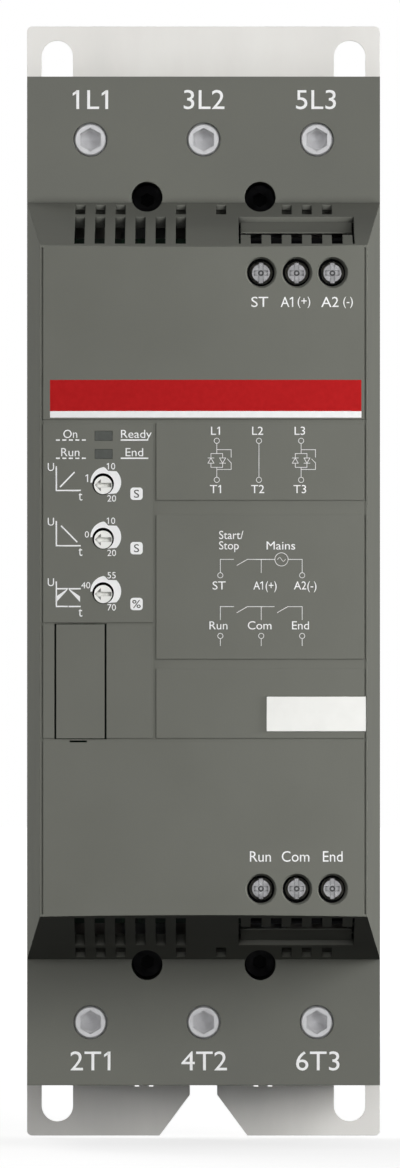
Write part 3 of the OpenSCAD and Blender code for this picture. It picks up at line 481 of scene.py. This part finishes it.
def printed(name, material, draw):
    """A piece of print that rides on the housing."""
    bm = bmesh.new()
    draw(bm)
    bmesh.ops.remove_doubles(bm, verts=bm.verts, dist=WELD * MM)
    bmesh.ops.recalc_face_normals(bm, faces=bm.faces)
    mesh = bpy.data.meshes.new(name)
    bm.to_mesh(mesh)
    bm.free()
    mesh.materials.append(material)
    obj = bpy.data.objects.new(name, mesh)
    bpy.context.scene.collection.objects.link(obj)
    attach(obj, "root")


# Band and stripe

BAND_X = (-29.5, 30.3)
BAND_Z = (32.6, 38.6)
STRIPE_Z = (31.35, 32.6)


def red_band(bm):
    """The bare band across the front."""
    strip(bm, *BAND_X, *BAND_Z)


def white_stripe(bm):
    """The stripe under the band."""
    strip(bm, *BAND_X, *STRIPE_Z)


# Terminal marks: a main row has a baseline and a pitch, a control row a baseline and a cap height

MAIN_MARK_X = 0.1
MAIN_MARK_CAP = 3.66
MAIN_MARK_SQUEEZE = 1.06
MAIN_MARK_ROWS = ((("1L1", "3L2", "5L3"), 91.75, 21.75), (("2T1", "4T2", "6T3"), -95.15, 22.1))
CONTROL_MARK_ROWS = (
    ((("ST", 10.77, 1.14), ("A1", 16.0, 0.88), ("A2", 24.25, 1.04)), 52.6, 1.93),
    ((("(+)", 19.27, PLAIN_SQUEEZE), ("(-)", 27.73, PLAIN_SQUEEZE)), 52.93, 1.6),
    ((("Run", 10.9, PLAIN_SQUEEZE), ("Com", 17.65, PLAIN_SQUEEZE), ("End", 24.8, PLAIN_SQUEEZE)),
     -53.9, 2.0),
)


def main_marks(bm):
    """Standard terminal marks on the two shoulders."""
    for marks, z, pitch in MAIN_MARK_ROWS:
        for i, text in enumerate(marks):
            x = MAIN_MARK_X + (i - 1) * pitch
            words(bm, text, x, z, MAIN_MARK_CAP, on_shoulder, squeeze=MAIN_MARK_SQUEEZE)


def control_marks(bm):
    """Marks beside the control screws."""
    for row, z, cap in CONTROL_MARK_ROWS:
        word_row(bm, row, z, cap)


# Status marks

STATUS_CAP = 1.55
STATUS_ROWS = (
    ((("On", -25.6, 0.97), ("Ready", -12.92, 1.09)), 27.45),
    ((("Run", -25.6, 1.06), ("End", -13.3, 1.08)), 23.95),
)
UNDERLINE_DROP = 0.4
UNDERLINE_X = (-15.78, -10.75)
DASH_X = -28.24
DASH_PITCH = 1.248
DASH_LENGTH = 0.5
DASH_COUNT = 5


def status_marks(bm):
    """Words beside the indicator windows, underlined by dashes on the left and a line on the right."""
    for row, baseline in STATUS_ROWS:
        word_row(bm, row, baseline, STATUS_CAP)
        z = baseline - UNDERLINE_DROP
        for start in [DASH_X + DASH_PITCH * i for i in range(DASH_COUNT)]:
            stroke(bm, [(start, z), (start + DASH_LENGTH, z)], ICON_LINE_W)
        stroke(bm, [(x, z) for x in UNDERLINE_X], ICON_LINE_W)


# Dial scales: sickles given by angles in degrees, numbers by their place from the dial's middle

DIALS = [sum(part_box(f"dial_{i}"), Vector()) / 2 / MM for i in (1, 2, 3)]
HOLE_R = 2.08
HOLE_LIFT = 0.2
HOLE_TURN = (172, -68)
HOLE_STEPS = 30
SCALE_R = 2.95
SCALE_OFFSET = (0.52, 0.55)
SCALE_RIGHT = (-46, 46)
SCALE_LEFT = (97, 182)
SCALE_STEPS = 14
BITE = ((0.45, 2.17), (-0.1, 2.77))
SCALE_NUMBERS = (("1", "10", "20"), ("0", "10", "20"), ("40", "55", "70"))
NUMBER_CAP = 1.2
NUMBER_SQUEEZE = 1.02
FIRST_PLACES = ((-2.98, 0.59), (-3.12, 0.4), (-3.33, 1.1))
FIRST_CAPS = (1.5, NUMBER_CAP, NUMBER_CAP)
MIDDLE_PLACE = (1.63, 3.02)
LAST_PLACE = (1.65, -3.15)

# Unit tags
UNIT_X = -12.88
UNIT_SIZE = 2.38
UNIT_CORNER = 0.6
UNIT_DROPS = (1.65, 1.65, 1.9)
UNIT_TEXTS = ("S", "S", "%")
UNIT_CAP = 1.5
UNIT_SQUEEZE = 1.16
UNIT_BASE = 0.76


def dial_scales(bm):
    """White sickles round the dials, with a bite for the upper number, and the unit tags."""
    for dial, drop in zip(DIALS, UNIT_DROPS):
        x, z = dial.x + SCALE_OFFSET[0], dial.z + SCALE_OFFSET[1]
        outer = arc(x, z, SCALE_R, *SCALE_RIGHT, SCALE_STEPS)
        outer += [(x + across, z + up) for across, up in BITE]
        outer += arc(x, z, SCALE_R, *SCALE_LEFT, SCALE_STEPS)
        inner = arc(dial.x, dial.z + HOLE_LIFT, HOLE_R, *HOLE_TURN, HOLE_STEPS)
        slab(bm, outer + inner)
        slab(bm, rounded_square(UNIT_X, dial.z - drop, UNIT_SIZE, UNIT_CORNER))


def unit_letters(bm):
    """Units on their tags: seconds, seconds and percent."""
    for dial, drop, text in zip(DIALS, UNIT_DROPS, UNIT_TEXTS):
        baseline = dial.z - drop - UNIT_BASE
        words(bm, text, UNIT_X, baseline, UNIT_CAP, squeeze=UNIT_SQUEEZE, lift=SECOND_LAYER)


def dial_numbers(bm):
    """Numbers at the start, middle and end of each scale."""
    for dial, texts, first_place, first_cap in zip(DIALS, SCALE_NUMBERS, FIRST_PLACES, FIRST_CAPS):
        places = (first_place, MIDDLE_PLACE, LAST_PLACE)
        caps = (first_cap, NUMBER_CAP, NUMBER_CAP)
        for text, (across, up), cap in zip(texts, places, caps):
            words(bm, text, dial.x + across, dial.z + up, cap, squeeze=NUMBER_SQUEEZE)


# Dial icons: axes from the dial's height, ramps and letters from the ends of the axes

AXIS_X = (-28.28, -23.73)
AXIS_HEIGHTS = ((3.5, -1.02), (3.46, -1.18), (2.3, -2.38))
RAMPS = (((0.78, 0.73), (3.4, 3.43)), ((1.0, 3.75), (3.93, 0.78)))
VOLTAGE_PLACE = (-1.05, -0.76)
VOLTAGE_CAP = 1.5
TIME_PLACE = (0.08, -1.93)
TIME_CAP = 1.9
TIME_SQUEEZE = 0.8
LEVEL_LIFT = 3.4
LEVEL_HALF_GAP = 0.2
WEDGE_LIFTS = (1.95, 0.85)
WEDGE_TIP_DROPS = (0.3, 0.05)


def dial_icons(bm):
    """Voltage over time: ramp up, ramp down, and the level the ramps start from."""
    left, right = AXIS_X
    for number, (dial, (rise, drop)) in enumerate(zip(DIALS, AXIS_HEIGHTS)):
        top, base = dial.z + rise, dial.z + drop
        stroke(bm, [(left, top), (left, base)], ICON_LINE_W)
        words(bm, "U", left + VOLTAGE_PLACE[0], top + VOLTAGE_PLACE[1], VOLTAGE_CAP)
        words(bm, "t", right + TIME_PLACE[0], base + TIME_PLACE[1], TIME_CAP, squeeze=TIME_SQUEEZE)
        if number < len(RAMPS):
            stroke(bm, [(left, base), (right, base)], ICON_LINE_W)
            stroke(bm, [(left + across, base + up) for across, up in RAMPS[number]], ICON_LINE_W)
        else:
            level_icon(bm, left, right, base)


def level_icon(bm, left, right, base):
    """Two wedges under a top line, over an axis that is broken in the middle."""
    middle = (left + right) / 2
    level = base + LEVEL_LIFT
    for side, end in ((-1, left), (1, right)):
        inner = middle + side * LEVEL_HALF_GAP
        stroke(bm, [(end, base), (inner, base)], ICON_LINE_W)
        stroke(bm, [(end, level), (inner, level)], ICON_LINE_W)
        wedge = [(end, base + lift) for lift in WEDGE_LIFTS]
        wedge += [(inner, level - tip_drop) for tip_drop in WEDGE_TIP_DROPS]
        slab(bm, wedge if side < 0 else wedge[::-1])


# Power diagram

DIAGRAM_CAP = 1.55
TERMINAL_R = 0.5
PHASE_X = (2.53, 10.62, 18.72)
PHASE_Z = (26.9, 19.4)
THROUGH_PHASE = 2
PHASE_LABELS = (("L", 28.05), ("T", 16.85))
PHASE_LABEL_X = -0.25
PHASE_LABEL_SQUEEZE = 1.06
BOX_Z = (24.45, 21.8)
BOX_HALF_W = 1.12
TRIANGLE_Z = (23.6, 22.6)
TRIANGLE_HALF_W = 0.58
BYPASS_X = 2.76
BYPASS_Z = (25.2, 23.75, 22.65, 21.4)
BYPASS_BLADE = (-0.72, 23.4)


def power_diagram(bm):
    """Three phases, two of them through antiparallel thyristors with a bypass contact."""
    top, bottom = PHASE_Z
    for number, x in enumerate(PHASE_X, 1):
        for letter, z in PHASE_LABELS:
            words(bm, f"{letter}{number}", x + PHASE_LABEL_X, z, DIAGRAM_CAP, squeeze=PHASE_LABEL_SQUEEZE)
        ring(bm, x, top, TERMINAL_R)
        ring(bm, x, bottom, TERMINAL_R)
        if number == THROUGH_PHASE:
            stroke(bm, [(x, top - TERMINAL_R), (x, bottom + TERMINAL_R)])
        else:
            thyristor_pair(bm, x, top - TERMINAL_R, bottom + TERMINAL_R)


def thyristor_pair(bm, x, top, bottom):
    """Two facing triangles in a box of wires, and an open contact beside them."""
    box_top, box_bottom = BOX_Z
    up, down = TRIANGLE_Z
    stroke(bm, [(x, top), (x, box_top)])
    stroke(bm, [(x, box_bottom), (x, bottom)])
    for side in (-1, 1):
        wire = x + side * BOX_HALF_W
        left, right = wire - TRIANGLE_HALF_W, wire + TRIANGLE_HALF_W
        stroke(bm, [(x, box_top), (wire, box_top), (wire, up)])
        stroke(bm, [(wire, down), (wire, box_bottom), (x, box_bottom)])
        tip, base = (up, down) if side < 0 else (down, up)
        stroke(bm, [(left, base), (right, base), (wire, tip), (left, base)])
        stroke(bm, [(left, tip), (right, tip)])
    bypass = x + BYPASS_X
    high, fixed_end, blade_root, low = BYPASS_Z
    blade_x, blade_z = BYPASS_BLADE
    stroke(bm, [(x, high), (bypass, high), (bypass, fixed_end)])
    stroke(bm, [(bypass + blade_x, blade_z), (bypass, blade_root), (bypass, low), (x, low)])


# Control diagram: values of both circuits, then of the supply circuit, then of the signal circuit

CONTROL_X = (3.21, 11.06, 18.92)
FIRST_CONTACT_X = (5.75, 6.4)
SECOND_CONTACT_X = (13.55, 14.15)
BLADE_W = 2.0
BLADE_DROP = 1.15
SUPPLY_Z = 4.13
SUPPLY_TERMINAL_Z = 1.08
SUPPLY_TAP_Z = 1.57
SOURCE_X = 14.95
SOURCE_R = 1.27
WAVE_HALF_W = 0.75
WAVE_RISE = 0.36
WAVE_STEPS = 12
START_X = 2.97
START_LINES = (("Start/", 8.05), ("Stop", 6.05))
MAINS_PLACE = (14.83, 6.03)
MAINS_SQUEEZE = 1.1
SUPPLY_ROW = (("ST", 2.97, 1.1), ("A1(+)", 11.78, 0.84), ("A2(-)", 19.5, 0.92))
SUPPLY_ROW_Z = -1.65
SIGNAL_Z = -4.94
SIGNAL_DROP_Z = -7.46
SIGNAL_ROW = (("Run", 2.85, 1.04), ("Com", 10.75, 1.04), ("End", 18.6, 1.04))
SIGNAL_ROW_Z = -9.3
SIGNAL_TERMINAL_Z = -10.56
SIGNAL_END_Z = -12.44


def open_contact(bm, x, z):
    """A blade that hangs below the line and meets it at its right end."""
    stroke(bm, [(x, z - BLADE_DROP), (x + BLADE_W, z)])


def supply_circuit(bm):
    """The start contact in line with the supply."""
    left, middle, right = CONTROL_X
    line_end, blade = FIRST_CONTACT_X
    foot = SUPPLY_TERMINAL_Z + TERMINAL_R
    stroke(bm, [(left, foot), (left, SUPPLY_Z), (line_end, SUPPLY_Z)])
    open_contact(bm, blade, SUPPLY_Z)
    stroke(bm, [(blade + BLADE_W, SUPPLY_Z), (SOURCE_X - SOURCE_R, SUPPLY_Z)])
    stroke(bm, [(middle, SUPPLY_Z), (middle, SUPPLY_TAP_Z)])
    ring(bm, SOURCE_X, SUPPLY_Z, SOURCE_R)
    turns = [2 * i / WAVE_STEPS - 1 for i in range(WAVE_STEPS + 1)]
    stroke(bm, [(SOURCE_X + WAVE_HALF_W * t, SUPPLY_Z - WAVE_RISE * math.sin(math.pi * t)) for t in turns])
    stroke(bm, [(SOURCE_X + SOURCE_R, SUPPLY_Z), (right, SUPPLY_Z), (right, foot)])
    for x in (left, right):
        ring(bm, x, SUPPLY_TERMINAL_Z, TERMINAL_R)
    for text, z in START_LINES:
        words(bm, text, START_X, z, DIAGRAM_CAP, align="left")
    words(bm, "Mains", *MAINS_PLACE, DIAGRAM_CAP, squeeze=MAINS_SQUEEZE)
    word_row(bm, SUPPLY_ROW, SUPPLY_ROW_Z, DIAGRAM_CAP)


def signal_circuit(bm):
    """Two signal contacts with a common between them."""
    left, middle, right = CONTROL_X
    first_end, first_blade = FIRST_CONTACT_X
    second_end, second_blade = SECOND_CONTACT_X
    stroke(bm, [(left, SIGNAL_DROP_Z), (left, SIGNAL_Z), (first_end, SIGNAL_Z)])
    open_contact(bm, first_blade, SIGNAL_Z)
    stroke(bm, [(first_blade + BLADE_W, SIGNAL_Z), (second_end, SIGNAL_Z)])
    stroke(bm, [(middle, SIGNAL_Z), (middle, SIGNAL_DROP_Z)])
    open_contact(bm, second_blade, SIGNAL_Z)
    stroke(bm, [(second_blade + BLADE_W, SIGNAL_Z), (right, SIGNAL_Z), (right, SIGNAL_DROP_Z)])
    word_row(bm, SIGNAL_ROW, SIGNAL_ROW_Z, DIAGRAM_CAP)
    for wire in CONTROL_X:
        ring(bm, wire, SIGNAL_TERMINAL_Z, TERMINAL_R)
        stroke(bm, [(wire, SIGNAL_TERMINAL_Z - TERMINAL_R), (wire, SIGNAL_END_Z)])


def control_diagram(bm):
    """Start contact and supply above, two signal contacts with a common below."""
    supply_circuit(bm)
    signal_circuit(bm)


def print_marks():
    """All print on the housing and the cover."""
    white = ink("white_ink", "f6f6f6", "fcfcfc")
    red = ink("red_ink", "b01c1e", "b92022")
    grey = ink("grey_ink", "3e3f3b", "464743")
    printed("red_band", red, red_band)
    printed("white_stripe", white, white_stripe)
    printed("dial_scales", white, dial_scales)
    printed("unit_letters", grey, unit_letters)
    for draw in (main_marks, control_marks, status_marks, dial_numbers, dial_icons, power_diagram,
                 control_diagram):
        printed(draw.__name__, white, draw)


# Stage and background

WHITE = (1.0, 1.0, 1.0, 1.0)
SKY = 0.22
SKY_EDGE = (-0.02, 0.12)
FLOOR_GAP = 0.0005
FLOOR_SIZE = 14.0
FLOOR_GREY = (0.4, 0.4, 0.4, 1.0)
FLOOR_BOUNCE = (0.05, 0.05, 0.05, 1.0)
FLOOR_SHINE = 0.75
SHADOW_REACH = (1.0, 1.8)


def seen_directly(tree):
    """1 for rays from the camera, a mirror or a clear pane, and 0 for rays that carry light."""
    path = tree.nodes.new("ShaderNodeLightPath")
    total = path.outputs["Is Camera Ray"]
    for name in ("Is Glossy Ray", "Is Transmission Ray"):
        add = tree.nodes.new("ShaderNodeMath")
        add.operation = "ADD"
        add.use_clamp = True
        tree.links.new(total, add.inputs[0])
        tree.links.new(path.outputs[name], add.inputs[1])
        total = add.outputs["Value"]
    return total


def choose(tree, fac, otherwise, chosen):
    """One shader where a factor is 0 and another where it is 1."""
    node = tree.nodes.new("ShaderNodeMixShader")
    tree.links.new(fac, node.inputs["Fac"])
    tree.links.new(otherwise, node.inputs[1])
    tree.links.new(chosen, node.inputs[2])
    return node.outputs["Shader"]


def fade(tree, fac, start, end, low=0.0, high=1.0):
    """A low value up to the start of a range and a high one from its end on."""
    node = tree.nodes.new("ShaderNodeMapRange")
    node.inputs["From Min"].default_value = start
    node.inputs["From Max"].default_value = end
    node.inputs["To Min"].default_value = low
    node.inputs["To Max"].default_value = high
    tree.links.new(fac, node.inputs["Value"])
    return node.outputs["Result"]


def diffuse(tree, colour):
    """A matt surface of one colour."""
    node = tree.nodes.new("ShaderNodeBsdfDiffuse")
    node.inputs["Color"].default_value = colour
    return node.outputs["BSDF"]


def build_world():
    """Soft sky light from above, and a white background."""
    world = bpy.data.worlds.new("studio")
    bpy.context.scene.world = world
    world.use_nodes = True
    tree = world.node_tree
    split = tree.nodes.new("ShaderNodeSeparateXYZ")
    coords = tree.nodes.new("ShaderNodeTexCoord")
    tree.links.new(coords.outputs["Generated"], split.inputs["Vector"])
    sky = tree.nodes.new("ShaderNodeBackground")
    sky.inputs["Strength"].default_value = SKY
    tree.links.new(fade(tree, split.outputs["Z"], *SKY_EDGE), sky.inputs["Color"])
    backdrop = tree.nodes.new("ShaderNodeBackground")
    backdrop.inputs["Strength"].default_value = 1.0
    backdrop.inputs["Color"].default_value = WHITE
    seen = choose(tree, seen_directly(tree), sky.outputs["Background"], backdrop.outputs["Background"])
    tree.links.new(seen, tree.nodes["World Output"].inputs["Surface"])


def build_floor():
    """A pale floor that shows white to the camera, keeps the shadow and throws little light back up."""
    mesh = bpy.data.meshes.new("floor")
    h, z = FLOOR_SIZE / 2, cad_box[0].z - FLOOR_GAP
    mesh.from_pydata([(-h, -h, z), (h, -h, z), (h, h, z), (-h, h, z)], [], [(0, 1, 2, 3)])
    floor = bpy.data.objects.new("floor", mesh)
    bpy.context.scene.collection.objects.link(floor)
    material = bpy.data.materials.new("pale_floor")
    material.use_nodes = True
    tree = material.node_tree
    tree.nodes.remove(tree.nodes["Principled BSDF"])
    away = tree.nodes.new("ShaderNodeVectorMath")
    away.operation = "LENGTH"
    tree.links.new(tree.nodes.new("ShaderNodeTexCoord").outputs["Object"], away.inputs[0])
    shine = tree.nodes.new("ShaderNodeEmission")
    strength = fade(tree, away.outputs["Value"], *SHADOW_REACH, FLOOR_SHINE, 1.0)
    tree.links.new(strength, shine.inputs["Strength"])
    both = tree.nodes.new("ShaderNodeAddShader")
    tree.links.new(diffuse(tree, FLOOR_GREY), both.inputs[0])
    tree.links.new(shine.outputs["Emission"], both.inputs[1])
    seen = choose(tree, seen_directly(tree), diffuse(tree, FLOOR_BOUNCE), both.outputs["Shader"])
    tree.links.new(seen, tree.nodes["Material Output"].inputs["Surface"])
    mesh.materials.append(material)


# Light and camera

def area_light(name, place, width, height, share, mirrored=True):
    """A soft box that gives a surface facing it a share of full light, and shows in gloss if mirrored."""
    data = bpy.data.lights.new(name, "AREA")
    data.shape = "RECTANGLE"
    data.size = width
    data.size_y = height
    data.energy = share * math.pi ** 2 * Vector(place).length_squared
    lamp = bpy.data.objects.new(name, data)
    lamp.location = place
    lamp.rotation_euler = (-Vector(place)).to_track_quat("-Z", "Y").to_euler()
    lamp.visible_glossy = mirrored
    bpy.context.scene.collection.objects.link(lamp)


def build_lights():
    """A key from the right in front, a low fill straight in front, and boxes for the sides and the back."""
    area_light("key", (1.0, -2.5, 0.5), width=0.8, height=0.8, share=0.46, mirrored=False)
    area_light("fill", (0.0, -3.0, 0.015), width=1.0, height=0.25, share=0.14, mirrored=False)
    area_light("left", (-2.5, -0.5, 0.2), width=0.6, height=0.6, share=0.36)
    area_light("right", (2.5, -0.5, 0.2), width=0.6, height=0.6, share=0.72)
    area_light("back", (-1.2, 2.2, 1.2), width=1.6, height=1.6, share=0.45)


CAMERA_AT = (-0.000694, -5.505, -0.000595)
CAMERA_LENS = 570


def build_camera():
    """A long lens straight in front, framed by the photograph's height."""
    data = bpy.data.cameras.new("camera")
    data.sensor_fit = "VERTICAL"
    data.lens = CAMERA_LENS
    camera = bpy.data.objects.new("camera", data)
    camera.location = CAMERA_AT
    camera.rotation_euler = (math.radians(90), 0, 0)
    bpy.context.scene.collection.objects.link(camera)
    bpy.context.scene.camera = camera


bpy.context.scene.view_settings.view_transform = "Standard"
build_camera()
build_world()
build_floor()
build_lights()
finish_nodes(build_finishes())
print_marks()
